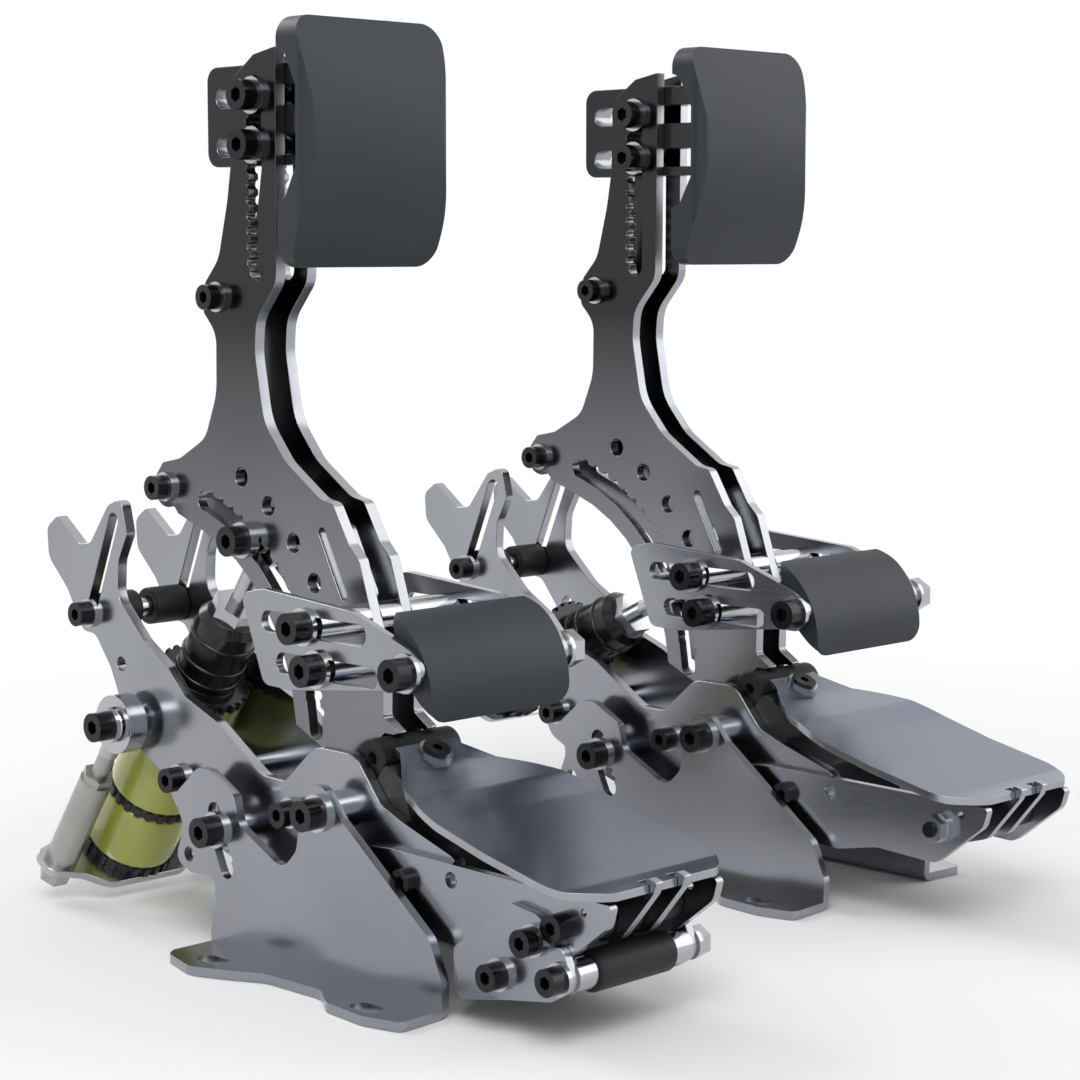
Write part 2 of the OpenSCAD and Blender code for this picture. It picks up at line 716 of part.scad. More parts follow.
// Pivot axle with a threaded hole in each end
module pivot_axle() {
  color("gray")
    difference() {
      bar(pivot, axle_d, -frame_out, frame_out);
      for (s = [-1, 1])
        bar(pivot, screw_big + 2 * run_fit, s > 0 ? frame_out - axle_hole_l : -frame_out - 1,
            s > 0 ? frame_out + 1 : -frame_out + axle_hole_l);
    }
}

// Swinging arm

// Arm plate with its toothed upright slot and the curved slot about the side bolts
module arm_plate(s) {
  x0 = s > 0 ? arm_in : -arm_out;
  a = x0 - 1;
  b = x0 + arm_t + 1;
  color("slategray")
    difference() {
      plate(x0, arm_t)
        polygon(concat(
          rounded_open(arm_front_edge),
          arc_points(pivot, arm_lobe_r, 130, 400),
          arc_points(unit_hinge, arm_bay_r, 175, 107),
          [bay_corner],
          arc_points(stop_rod, stop_lobe_r, 240, 400),
          rounded_open(arm_rear)));
      bar(pivot, bush_d, a, b);
      toothed_slot(slot_y, slot_low_z + slot_w / 2, slot_high_z - slot_w / 2, slot_w, a, b);
      arc_slot(unit_hinge, unit_reach, arm_slot_from, arm_slot_to, slot_w, a, b, arm_tooth_step, 1, tooth_d);
      for (p = arm_holes)
        bar(beside_slot(p), slot_w, a, b);
      bar(beside_slot(arm_small_hole_at), arm_small_hole_d, a, b);
      slot(beside_slot(arm_narrow_slot[0]), beside_slot(arm_narrow_slot[1]), arm_narrow_slot_w, a, b);
      bar(stop_rod, screw_small + 2 * screw_fit, a, b);
      bar(upper_spacer, screw_small + 2 * screw_fit, a, b);
      for (p = lower_bolts)
        bar(p, screw_big + 2 * screw_fit, a, b);
    }
}

arm_lobe_r = 11;
// Wall between the bay and the middle of the curved slot
bay_wall = 10;
arm_bay_r = unit_reach - bay_wall;
// Waist between the bay and the lobe round the stop rod
bay_corner = [98.6, 138.6];
stop_lobe_r = 7;
arm_slot_from = 106;
arm_slot_to = 176;
arm_tooth_step = 4;
tooth_pitch = 5;
tooth_d = 3;

// Rounds the inner corners of an open run of points and keeps its two ends
function rounded_open(pts) = [
  for (i = [0:len(pts) - 1])
    each (i == 0 || i == len(pts) - 1 ? [flat(pts[i])]
      : corner_arc(flat(pts[i - 1]), flat(pts[i]), flat(pts[i + 1]), pts[i][2]))
];

pad_low_z = 222;
pad_top_z = pad_low_z + pad_h;
pad_front_y = 2.8;
pad_back_y = 17.5;
pad_mid_z = 263.5;
pad_corner = 7;
pad_edge = 5;
tab_z0 = 254.4;
tab_z1 = 287;
tab_y1 = 84.5;
tab_flange_half = 16;
tab_flange_t = 4;
// Inner corners of the cut-out in each cheek of the main pad
cheek_cut = [[14, 243], [8.5, 253], [8.5, 277.5], [14, 288]];

// Solid bounded by a round face, with rounded corners seen from the front and from above
module pad_block(half, low, top, face_r, corner, edge, back) {
  intersection() {
    translate([0, pad_front_y + pad_face_r, pad_mid_z])
      rotate([0, 90, 0])
        cylinder(r = face_r, h = 200, center = true, $fn = 96);
    translate([0, back, 0])
      rotate([90, 0, 0])
        linear_extrude(height = back + 20)
          polygon(rounded([[-half, low, corner], [half, low, corner], [half, top, corner], [-half, top, corner]]));
    linear_extrude(height = 320)
      polygon(rounded([
        [-half, pad_front_y + pad_face_r - face_r, edge], [half, pad_front_y + pad_face_r - face_r, edge],
        [half, back + 1, 0], [-half, back + 1, 0]]));
  }
}

// Main pad: a bent shell, open at the back, with a cut-out in each cheek
module main_pad() {
  color("darkslategray")
    difference() {
      pad_block(pad_half, pad_low_z, pad_top_z, pad_face_r, pad_corner, pad_edge, pad_back_y);
      pad_block(pad_half - pad_wall, pad_low_z + pad_wall, pad_top_z - pad_wall, pad_face_r - pad_wall,
                pad_corner - pad_wall, pad_edge - pad_wall / 2, pad_back_y + 1);
      plate(-pad_half - 1, pad_w + 2)
        polygon(concat([[pad_back_y + 1, 241.8]], cheek_cut, [[pad_back_y + 1, 289.5]]));
    }
}

// Bracket behind the main pad, with two level slots for the pad bolts
module pad_tab() {
  color("silver")
    difference() {
      union() {
        plate(-arm_in, arm_gap)
          polygon(rounded([[pad_back_y - 6, tab_z0, 0], [tab_y1, tab_z0, 5], [tab_y1, tab_z1, 5], [pad_back_y - 6, tab_z1, 0]]));
        intersection() {
          translate([-tab_flange_half, 0, tab_z0 - 4])
            cube([2 * tab_flange_half, pad_back_y - 5, tab_z1 - tab_z0 + 6]);
          difference() {
            translate([0, pad_front_y + pad_face_r, pad_mid_z])
              rotate([0, 90, 0])
                cylinder(r = pad_face_r - pad_wall - 0.1, h = 100, center = true, $fn = 96);
            translate([0, pad_front_y + pad_face_r, pad_mid_z])
              rotate([0, 90, 0])
                cylinder(r = pad_face_r - pad_wall - tab_flange_t, h = 102, center = true, $fn = 96);
          }
        }
        translate([-arm_in, pad_front_y + pad_wall + tab_flange_t - 0.6, tab_z0])
          cube([arm_gap, pad_back_y - pad_front_y - tab_flange_t - 5, tab_z1 - tab_z0]);
      }
      for (z = pad_bolt_z)
        slot([slot_y - 30, z], [tab_y1 - 8, z], slot_w, -arm_in - 1, arm_in + 1);
    }
}

// Lower pad: a curved shell with a lug at each end for its bolt
module lower_pad() {
  inner = lower_pad_r - pad_wall;
  color("darkslategray")
    difference() {
      intersection() {
        bar(lower_pad_centre, 2 * lower_pad_r, -bracket_in, bracket_in);
        plate(-bracket_in, lower_pad_w)
          polygon(rounded([[-30, 125, 0], [-64, 125, 0], [-64, 81, 0], [-46, 83, 0], [-49.6, 89.5, 1], [-37, 101, 4], [-33, 118, 1]]));
        // Rounded ends seen from the front
        translate([0, 10, 0])
          rotate([90, 0, 0])
            linear_extrude(height = 100)
              polygon(rounded([[-bracket_in, 88, 6], [bracket_in, 88, 6], [bracket_in, 121, 6], [-bracket_in, 121, 6]]));
      }
      bar(lower_pad_centre, 2 * inner, -bracket_in + pad_wall, bracket_in - pad_wall);
      bar(lower_pad_bolt, screw_big + 2 * screw_fit, -bracket_in - 1, bracket_in + 1);
    }
}

// Slotted side plates of the lower pad
module lower_brackets() {
  color("silver")
    for (s = [-1, 1]) {
      x0 = s > 0 ? bracket_in : -bracket_out;
      a = x0 - 1;
      b = x0 + bracket_t + 1;
      difference() {
        plate(x0, bracket_t)
          polygon(rounded(bracket_outline));
        slot([-21, lower_bolts[0][1]], [22, lower_bolts[0][1]], slot_w, a, b);
        slot([-26, lower_bolts[1][1]], [15, lower_bolts[1][1]], slot_w, a, b);
        bar(lower_pad_bolt, screw_big + 2 * screw_fit, a, b);
      }
    }
}

// Bright tubes, washers, nuts and bushes of the arm
module arm_tubes(angle) {
  at = slot_bolt(angle);
  color("gainsboro") {
    for (p = lower_bolts) {
      through_nut(p, screw_big, bracket_out, -1);
      ring(p, tube_d, screw_big + 2 * screw_fit, -arm_in, 1, arm_gap);
      for (s = [-1, 1])
        ring(p, tube_d, screw_big + 2 * screw_fit, s * arm_out, s, bracket_in - arm_out);
    }
    through_nut(lower_pad_bolt, screw_big, bracket_out, -1);
    for (z = pad_bolt_z)
      through_nut([slot_y, z], screw_big, arm_out, -1);
    for (p = [stop_rod, upper_spacer]) {
      ring(p, tube_d, screw_small + 2 * screw_fit, -arm_in, 1, arm_gap);
      for (s = [-1, 1])
        washer(p, screw_small, s * arm_out, s);
    }
    // Ball and bushes of the bolt in the curved slot
    joint_ball(at);
    for (s = [-1, 1]) {
      ring(at, bush_d, screw_big + 2 * screw_fit, s * arm_out, s, slot_bush_h);
      // Flanged bush of the pivot
      difference() {
        union() {
          bar(pivot, bush_d - 2 * run_fit, s > 0 ? arm_in : -arm_out, s > 0 ? arm_out : -arm_in);
          ring(pivot, bush_d + 3, axle_d + 2 * run_fit, s * arm_out, s, bush_flange);
        }
        bar(pivot, axle_d + 2 * run_fit, s > 0 ? arm_in - 1 : -arm_out - 2, s > 0 ? arm_out + 2 : -arm_in + 1);
      }
    }
    ring(pivot, bush_d, axle_d + 0.4, -arm_in, 1, arm_gap);
  }
}

slot_bush_h = 3.5;

// Cap screws of the arm
module arm_screws(angle) {
  at = slot_bolt(angle);
  color("black") {
    for (p = lower_bolts)
      through_screw(p, screw_big, bracket_out, -1);
    through_screw(lower_pad_bolt, screw_big, bracket_out, -1);
    for (z = pad_bolt_z)
      through_screw([slot_y, z], screw_big, arm_out, -1);
    for (p = [stop_rod, upper_spacer])
      for (s = [-1, 1])
        cap_screw(p, screw_small, s * (arm_out + washer_h), s, arm_out + washer_h - 0.4);
    cap_screw(at, screw_big, -(arm_out + slot_bush_h), -1, 2 * (arm_out + slot_bush_h));
    ring(at, screw_big * head_ratio, screw_big + 2 * screw_fit, arm_out + slot_bush_h, 1, 4);
  }
}

// Force unit

// Points [radius, x] of a ball's flank between -w/2 and w/2
function flank(r, w) =
  let (a = asin(w / 2 / r))
  [for (i = [-4:4]) r * [cos(a * i / 4), sin(a * i / 4)]];

// Ball of a rod end, turned about the X line through at
module joint_ball(at) {
  bore = screw_big / 2 + run_fit;
  translate([0, at[0], at[1]])
    rotate([0, 90, 0])
      rotate_extrude($fn = 32)
        polygon(concat([[bore, ball_w / 2], [bore, -ball_w / 2]], flank(ball_r, ball_w)));
}

// Eye of a rod end about its own ball, with its shank towards -Z
module rod_eye(play, shank) {
  socket = (ball_r + play) / cos(asin(eye_w / 2 / ball_r) / 8);
  neck_d = eye_w - 0.4;
  difference() {
    union() {
      rotate([0, 90, 0])
        cylinder(r = eye_r, h = eye_w, center = true);
      translate([0, 0, -shank])
        cylinder(d = neck_d, h = shank - eye_r + 2);
    }
    rotate([0, 90, 0])
      rotate_extrude($fn = 32)
        polygon(concat(
          [[0, eye_w / 2 + 1], [0, -eye_w / 2 - 1], [flank(socket, eye_w)[0][0], -eye_w / 2 - 1]],
          flank(socket, eye_w), [[flank(socket, eye_w)[0][0], eye_w / 2 + 1]]));
  }
}

// End plate with an ear for each side rod, at height z0 of the unit
module unit_base(angle, z0) {
  color("silver")
    along_unit(angle)
      difference() {
        union() {
          translate([0, 0, z0])
            linear_extrude(height = base_t)
              polygon(rounded([
                [-ear_half_w, -5, 4], [-24, -9, 6], [-base_r, -base_r, 9], [base_r, -base_r, 9], [24, -9, 6],
                [ear_half_w, -5, 4], [ear_half_w, 5, 4], [24, 9, 6], [base_r, base_r, 9], [-base_r, base_r, 9],
                [-24, 9, 6], [-ear_half_w, 5, 4]]));
          translate([0, 0, z0])
            cylinder(d = guide_rod_d, h = guide_up - z0);
        }
        for (s = [-1, 1])
          translate([s * side_rod_x, 0, z0 - 1])
            cylinder(d = rod_d + 2 * screw_fit, h = base_t + 2);
      }
}

// Measuring ring between the end plate and the stack
module load_cell(angle, z0) {
  color("black")
    along_unit(angle)
      translate([0, 0, z0])
        toothed_disc(disc_d, cell_h, guide_rod_d + 2 * guide_fit);
}

// Disc with square teeth round its edge
module toothed_disc(d, h, bore) {
  tooth = 3.14159 * d / disc_teeth / 2;
  difference() {
    cylinder(d = d, h = h);
    translate([0, 0, -1])
      cylinder(d = bore, h = h + 2);
    for (i = [0:disc_teeth - 1])
      rotate([0, 0, i * 360 / disc_teeth])
        translate([d / 2 - tooth_depth, -tooth / 2, -1])
          cube([tooth_depth + 1, tooth, h + 2]);
  }
}

tooth_depth = 1.2;

// Side rods with their sleeves, lock nuts and end nuts
module side_rods(angle, z0) {
  top = -eye_shank;
  sleeve_low = z0 + base_t;
  sleeve_high = top - max(rod_nut_h, (top - sleeve_low) * 0.25);
  color("whitesmoke")
    along_unit(angle)
      for (s = [-1, 1])
        translate([s * side_rod_x, 0, 0]) {
          translate([0, 0, z0 - nut_end])
            cylinder(d = rod_d, h = top - z0 + nut_end);
          rod_ring(side_sleeve_d - 0.6, sleeve_low, sleeve_high - sleeve_low, $fn);
          rod_ring(rod_nut_d, sleeve_high, rod_nut_h, 6);
          rod_ring(rod_nut_d, z0 - nut_end, nut_end, 6);
        }
}

// Sleeve or nut round a side rod
module rod_ring(d, z, h, n) {
  translate([0, 0, z])
    difference() {
      cylinder(d = d, h = h, $fn = n);
      translate([0, 0, -1])
        cylinder(d = rod_d + 2 * run_fit, h = h + 2);
    }
}

eye_shank = 14;
rod_nut_h = 3;
rod_nut_d = 11;

module rod_ends(angle) {
  color("gainsboro")
    along_unit(angle)
      for (s = [-1, 1])
        translate([s * side_rod_x, 0, 0])
          rod_eye(run_fit, eye_shank);
}

// Three elastomers of the brake
module elastomers(angle) {
  color("yellowgreen")
    along_unit(angle)
      for (i = [0:2])
        translate([0, 0, stack_low + i * (elastomer_h + separator_h)])
          difference() {
            cylinder(d = elastomer_d, h = elastomer_h);
            translate([0, 0, -1])
              cylinder(d = guide_rod_d + 4 * guide_fit, h = elastomer_h + 2);
          }
}

// Separator between two elastomers, counted from the end plate
module separator(angle, i) {
  color("black")
    along_unit(angle)
      translate([0, 0, stack_low + elastomer_h + i * (elastomer_h + separator_h)])
        toothed_disc(disc_d, separator_h, guide_rod_d + 4 * guide_fit);
}

// Preload adjuster: toothed flange, body and its bore for the guide rod
module adjuster(angle) {
  color("black")
    along_unit(angle)
      difference() {
        union() {
          translate([0, 0, flange_low])
            toothed_disc(disc_d, separator_h, 1);
          translate([0, 0, flange_low])
            cylinder(d = adjuster_d, h = adjuster_top - flange_low - 3);
          translate([0, 0, adjuster_top - 3])
            cylinder(d1 = adjuster_d, d2 = jam_nut_d + 1, h = 3);
        }
        translate([0, 0, flange_low - 1])
          cylinder(d = guide_rod_d + 2 * guide_fit, h = guide_up + 20 - flange_low + 1);
        translate([0, 0, adjuster_top - 4])
          cylinder(d = rod_d + 2 * run_fit, h = 6);
      }
}

// Push rod with its jam nut and rod end on the slot bolt
module push_rod(angle, play) {
  color("silver")
    along_unit(angle) {
      translate([0, 0, unit_reach])
        rod_eye(play, unit_reach - jam_nut_top);
      translate([0, 0, adjuster_top])
        cylinder(d = jam_nut_d, h = jam_nut_top - adjuster_top, $fn = 6);
      translate([0, 0, adjuster_top - 3.5])
        cylinder(d = rod_d, h = 5);
    }
}

// Coil spring of the throttle: one tube swept along a coil, whose ends stand square on what they meet
coil_low = spring_low + spring_wire;
coil_high = spring_high - spring_wire;
spring_rings = 8 * spring_curls;
function coil_angle(i) = 360 * spring_curls * i / spring_rings;
function coil_point(i) =
  let (a = coil_angle(i))
  [spring_mean_d / 2 * cos(a), spring_mean_d / 2 * sin(a), coil_low + (coil_high - coil_low) * i / spring_rings];

// Six points round p on the plane of the two directions u and v
function wire_ring(p, u, v) = [for (k = [0:5]) p + spring_wire / 2 * (u * cos(60 * k) + v * sin(60 * k))];
function out_dir(a) = [cos(a), sin(a), 0];
// The corner ring between an end and the coil leans half way
function corner_dir(a, s) = [s * sin(a), -s * cos(a), 1];
function coil_ring(i) = i == 0 || i == spring_rings
  ? wire_ring(coil_point(i), out_dir(coil_angle(i)), corner_dir(coil_angle(i), 1))
  : wire_ring(coil_point(i), out_dir(coil_angle(i)), [0, 0, 1]);
function end_ring(i, z) =
  let (a = coil_angle(i))
  wire_ring([spring_mean_d / 2 * cos(a), spring_mean_d / 2 * sin(a), z], out_dir(a), [sin(a), -cos(a), 0]);
spring_points = concat(
  [end_ring(0, spring_low)],
  [for (i = [0:spring_rings]) coil_ring(i)],
  [end_ring(spring_rings, spring_high)]);
// Least distance between stretches of wire that aren't neighbours along the coil
spring_gap = min([for (i = [0:spring_rings]) for (j = [i + 5:1:spring_rings])
  norm(coil_point(i) - coil_point(j))]) - spring_wire;
echo(spring_least_gap = spring_gap);

module spring(angle) {
  n = len(spring_points) - 1;
  color("silver")
    along_unit(angle)
      polyhedron(
        points = [for (ring = spring_points) each ring],
        faces = concat(
          [for (k = [1:4]) [0, k + 1, k]],
          [for (i = [0:n - 1]) for (k = [0:5]) each [
            [6 * i + k, 6 * i + (k + 1) % 6, 6 * (i + 1) + k],
            [6 * i + (k + 1) % 6, 6 * (i + 1) + (k + 1) % 6, 6 * (i + 1) + k]]],
          [for (k = [1:4]) [6 * n, 6 * n + k, 6 * n + k + 1]]));
}

// Elastomer ring between the throttle's spring and its flange
module soft_ring(angle) {
  color("yellowgreen")
    along_unit(angle)
      translate([0, 0, spring_high])
        difference() {
          cylinder(d = elastomer_d - 2, h = soft_ring_h);
          translate([0, 0, -1])
            cylinder(d = guide_rod_d + 4 * guide_fit, h = soft_ring_h + 2);
        }
}

at_pedal(brake_x) foot_bracket(-1);  // brake_foot_left
at_pedal(brake_x) foot_bracket(1);  // brake_foot_right
at_pedal(brake_x) frame_plate(-1);  // brake_frame_left
at_pedal(brake_x) frame_plate(1);  // brake_frame_right
at_pedal(brake_x) heel_sides(true);  // brake_heel_sides
at_pedal(brake_x) link_plates();  // brake_link_plates
at_pedal(brake_x) heel_plate();  // brake_heel_plate
at_pedal(brake_x) heel_block();  // brake_heel_block
at_pedal(brake_x) rest_bumper();  // brake_rest_bumper
at_pedal(brake_x) travel_stops();  // brake_travel_stops
at_pedal(brake_x) heel_rollers(true);  // brake_heel_rollers
at_pedal(brake_x) frame_screws(true, -1);  // brake_frame_screws
at_pedal(brake_x) frame_spacers(true, -1);  // brake_frame_spacers
at_pedal(brake_x) pivot_axle();  // brake_pivot_axle
at_pedal(brake_x) arm_plate(-1);  // brake_arm_left
at_pedal(brake_x) arm_plate(1);  // brake_arm_right
at_pedal(brake_x) main_pad();  // brake_main_pad
at_pedal(brake_x) pad_tab();  // brake_pad_tab
at_pedal(brake_x) lower_pad();  // brake_lower_pad
at_pedal(brake_x) lower_brackets();  // brake_lower_brackets
at_pedal(brake_x) arm_tubes(brake_angle);  // brake_arm_tubes
at_pedal(brake_x) arm_screws(brake_angle);  // brake_arm_screws
at_pedal(brake_x) unit_base(brake_angle, brake_base_z);  // brake_unit_base
at_pedal(brake_x) load_cell(brake_angle, brake_base_z + base_t);  // brake_load_cell
at_pedal(brake_x) side_rods(brake_angle, brake_base_z);  // brake_side_rods
at_pedal(brake_x) rod_ends(brake_angle);  // brake_rod_ends
at_pedal(brake_x) elastomers(brake_angle);  // brake_elastomers
at_pedal(brake_x) separator(brake_angle, 0);  // brake_separator_low
at_pedal(brake_x) separator(brake_angle, 1);  // brake_separator_high
at_pedal(brake_x) adjuster(brake_angle);  // brake_adjuster
at_pedal(brake_x) push_rod(brake_angle, brake_eye_play);  // brake_push_rod
at_pedal(throttle_x) foot_bracket(-1);  // throttle_foot_left
at_pedal(throttle_x) foot_bracket(1);  // throttle_foot_right
at_pedal(throttle_x) frame_plate(-1);  // throttle_frame_left
at_pedal(throttle_x) frame_plate(1);  // throttle_frame_right
at_pedal(throttle_x) heel_sides(false);  // throttle_heel_sides
at_pedal(throttle_x) heel_plate();  // throttle_heel_plate
at_pedal(throttle_x) heel_block();  // throttle_heel_block
at_pedal(throttle_x) rest_bumper();  // throttle_rest_bumper
at_pedal(throttle_x) travel_stops();  // throttle_travel_stops
at_pedal(throttle_x) heel_rollers(false);  // throttle_heel_rollers
at_pedal(throttle_x) frame_screws(false, 1);  // throttle_frame_screws
at_pedal(throttle_x) frame_spacers(false, 1);  // throttle_frame_spacers
at_pedal(throttle_x) pivot_axle();  // throttle_pivot_axle
at_pedal(throttle_x) arm_plate(-1);  // throttle_arm_left
at_pedal(throttle_x) arm_plate(1);  // throttle_arm_right
at_pedal(throttle_x) main_pad();  // throttle_main_pad
at_pedal(throttle_x) pad_tab();  // throttle_pad_tab
at_pedal(throttle_x) lower_pad();  // throttle_lower_pad
at_pedal(throttle_x) lower_brackets();  // throttle_lower_brackets
at_pedal(throttle_x) arm_tubes(throttle_angle);  // throttle_arm_tubes
at_pedal(throttle_x) arm_screws(throttle_angle);  // throttle_arm_screws
at_pedal(throttle_x) unit_base(throttle_angle, throttle_base_z);  // throttle_unit_base
at_pedal(throttle_x) load_cell(throttle_angle, throttle_base_z + base_t);  // throttle_load_cell
at_pedal(throttle_x) side_rods(throttle_angle, throttle_base_z);  // throttle_side_rods
at_pedal(throttle_x) rod_ends(throttle_angle);  // throttle_rod_ends
at_pedal(throttle_x) spring(throttle_angle);  // throttle_spring
at_pedal(throttle_x) soft_ring(throttle_angle);  // throttle_soft_ring
at_pedal(throttle_x) adjuster(throttle_angle);  // throttle_adjuster
at_pedal(throttle_x) push_rod(throttle_angle, throttle_eye_play);  // throttle_push_rod
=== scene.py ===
import bpy
import json
import math
from mathutils import Matrix, Vector

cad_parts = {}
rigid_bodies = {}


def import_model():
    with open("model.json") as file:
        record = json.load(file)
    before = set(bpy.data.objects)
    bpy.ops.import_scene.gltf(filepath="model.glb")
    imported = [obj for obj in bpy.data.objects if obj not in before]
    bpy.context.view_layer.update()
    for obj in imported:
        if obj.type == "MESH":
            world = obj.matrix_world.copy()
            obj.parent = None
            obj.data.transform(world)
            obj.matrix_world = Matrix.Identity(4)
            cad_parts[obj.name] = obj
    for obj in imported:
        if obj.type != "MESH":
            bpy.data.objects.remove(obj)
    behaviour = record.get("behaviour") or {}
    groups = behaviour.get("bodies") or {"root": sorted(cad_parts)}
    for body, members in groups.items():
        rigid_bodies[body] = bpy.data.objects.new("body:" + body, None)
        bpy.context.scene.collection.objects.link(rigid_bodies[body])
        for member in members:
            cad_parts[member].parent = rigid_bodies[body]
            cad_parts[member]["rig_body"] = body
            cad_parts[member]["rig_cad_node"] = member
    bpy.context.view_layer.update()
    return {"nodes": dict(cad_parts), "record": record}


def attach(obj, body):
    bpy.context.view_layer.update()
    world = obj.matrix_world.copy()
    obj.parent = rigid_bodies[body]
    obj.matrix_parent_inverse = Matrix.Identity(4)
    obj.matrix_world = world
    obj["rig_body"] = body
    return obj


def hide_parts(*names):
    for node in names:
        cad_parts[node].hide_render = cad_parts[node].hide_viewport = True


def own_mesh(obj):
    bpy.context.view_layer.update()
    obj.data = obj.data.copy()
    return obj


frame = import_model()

# Looks of a pair of racing pedals: every sheet gets its broken edges and cut faces,
# the rubber and spring parts are modelled afresh, and each finish is its own node material.

scene = bpy.context.scene
bodies = frame["record"]["behaviour"]["bodies"]
bodyOf = {node: body for body, nodes in bodies.items() for node in nodes}
pedalX = {"brake": -0.09, "throttle": 0.09}  # centre plane of each pedal
rowShift = -0.018515  # from the pivot line to the middle of the footprint
sideBolts = (106, 68)  # millimetres behind the pivot line and above the floor: the force units hang on these
unitAngle = {"brake": math.radians(125), "throttle": math.radians(154)}


def deselect():
    if bpy.context.object and bpy.context.object.mode != "OBJECT":
        bpy.ops.object.mode_set(mode="OBJECT")
    bpy.ops.object.select_all(action="DESELECT")


def makeActive(piece):
    deselect()
    piece.select_set(True)
    bpy.context.view_layer.objects.active = piece


def applyModifiers(piece):
    makeActive(piece)
    for modifier in list(piece.modifiers):
        bpy.ops.object.modifier_apply(modifier=modifier.name)


# Point in the set's frame from a pedal's own x, y from its pivot line and height, in millimetres
def at(pedal, x, y, z):
    return Vector((pedalX[pedal] + x / 1000, rowShift + y / 1000, z / 1000))


# Point on a force unit's axis, s millimetres from the side bolts
def onUnit(pedal, s):
    angle = unitAngle[pedal]
    return at(pedal, 0, sideBolts[0] + s * math.cos(angle), sideBolts[1] + s * math.sin(angle))


unitAxis = {pedal: onUnit(pedal, 1) - onUnit(pedal, 0) for pedal in pedalX}


# Helpers for node materials

def newMaterial(name):
    material = bpy.data.materials.new(name)
    material.use_nodes = True
    nodes = material.node_tree.nodes
    shader = nodes["Principled BSDF"]
    return material, nodes, material.node_tree.links, shader


def objectCoords(nodes, links, scale=(1, 1, 1)):
    coords = nodes.new("ShaderNodeTexCoord")
    mapping = nodes.new("ShaderNodeMapping")
    mapping.inputs["Scale"].default_value = scale
    links.new(coords.outputs["Object"], mapping.inputs["Vector"])
    return mapping.outputs["Vector"]


def noise(nodes, links, vector, scale, detail=4.0, rough=0.55):
    texture = nodes.new("ShaderNodeTexNoise")
    texture.inputs["Scale"].default_value = scale
    texture.inputs["Detail"].default_value = detail
    texture.inputs["Roughness"].default_value = rough
    links.new(vector, texture.inputs["Vector"])
    return texture.outputs["Fac"]


def remap(nodes, links, value, low, high, fromLow=0.3, fromHigh=0.7):
    ramp = nodes.new("ShaderNodeMapRange")
    ramp.inputs["From Min"].default_value = fromLow
    ramp.inputs["From Max"].default_value = fromHigh
    ramp.inputs["To Min"].default_value = low
    ramp.inputs["To Max"].default_value = high
    links.new(value, ramp.inputs["Value"])
    return ramp.outputs["Result"]


def mixColours(nodes, links, value, dark, light):
    mix = nodes.new("ShaderNodeMix")
    mix.data_type = "RGBA"
    mix.inputs["A"].default_value = (*dark, 1)
    mix.inputs["B"].default_value = (*light, 1)
    links.new(value, mix.inputs["Factor"])
    return mix.outputs["Result"]


def bumpFrom(nodes, links, value, strength, distance=0.0002):
    bump = nodes.new("ShaderNodeBump")
    bump.inputs["Strength"].default_value = strength
    bump.inputs["Distance"].default_value = distance
    links.new(value, bump.inputs["Height"])
    return bump.outputs["Normal"]


# One for rays of the camera, of reflections and through clear pieces, else nought
def seenRays(nodes, links):
    path = nodes.new("ShaderNodeLightPath")
    seen = path.outputs["Is Camera Ray"]
    for ray in ("Is Glossy Ray", "Is Transmission Ray"):
        either = nodes.new("ShaderNodeMath")
        either.operation = "MAXIMUM"
        links.new(seen, either.inputs[0])
        links.new(path.outputs[ray], either.inputs[1])
        seen = either.outputs[0]
    return seen


# Metal with drawn grain: streaks along one direction, cloudy tone, a few handling marks and, where asked, a
# painted dark reflection that darkens it towards the top
def grainedMetal(name, look):
    material, nodes, links, shader = newMaterial(name)
    streaks = noise(nodes, links, objectCoords(nodes, links, look["grain"]), look["grainScale"],
                    detail=6.0, rough=0.7)
    clouds = noise(nodes, links, objectCoords(nodes, links), look.get("cloudScale", 18), detail=3.0)
    marks = noise(nodes, links, objectCoords(nodes, links, scale=(1, 3, 1)), 160, detail=8.0, rough=0.8)
    tone = mixColours(nodes, links, remap(nodes, links, clouds, 0, 1), look["dark"], look["light"])
    if "paintedReflectionHeights" in look:  # heights in metres over which a painted dark reflection darkens the finish towards the top
        height = nodes.new("ShaderNodeSeparateXYZ")
        links.new(objectCoords(nodes, links), height.inputs[0])
        paintedReflection = nodes.new("ShaderNodeMix")
        paintedReflection.data_type = "RGBA"
        paintedReflection.inputs["B"].default_value = (*look["paintedReflectionTone"], 1)
        links.new(remap(nodes, links, height.outputs["Z"], 0, 1, *look["paintedReflectionHeights"]), paintedReflection.inputs["Factor"])
        links.new(tone, paintedReflection.inputs["A"])
        tone = paintedReflection.outputs["Result"]
    links.new(tone, shader.inputs["Base Color"])
    total = nodes.new("ShaderNodeMath")
    total.operation = "ADD"
    links.new(remap(nodes, links, streaks, look["rough"][0], look["rough"][1]), total.inputs[0])
    worn = remap(nodes, links, marks, 0.0, look.get("marks", 0.06), fromLow=0.62, fromHigh=0.75)
    links.new(worn, total.inputs[1])
    links.new(total.outputs[0], shader.inputs["Roughness"])
    links.new(bumpFrom(nodes, links, streaks, look["bump"]), shader.inputs["Normal"])
    shader.inputs["Metallic"].default_value = look.get("metallic", 1.0)
    return material


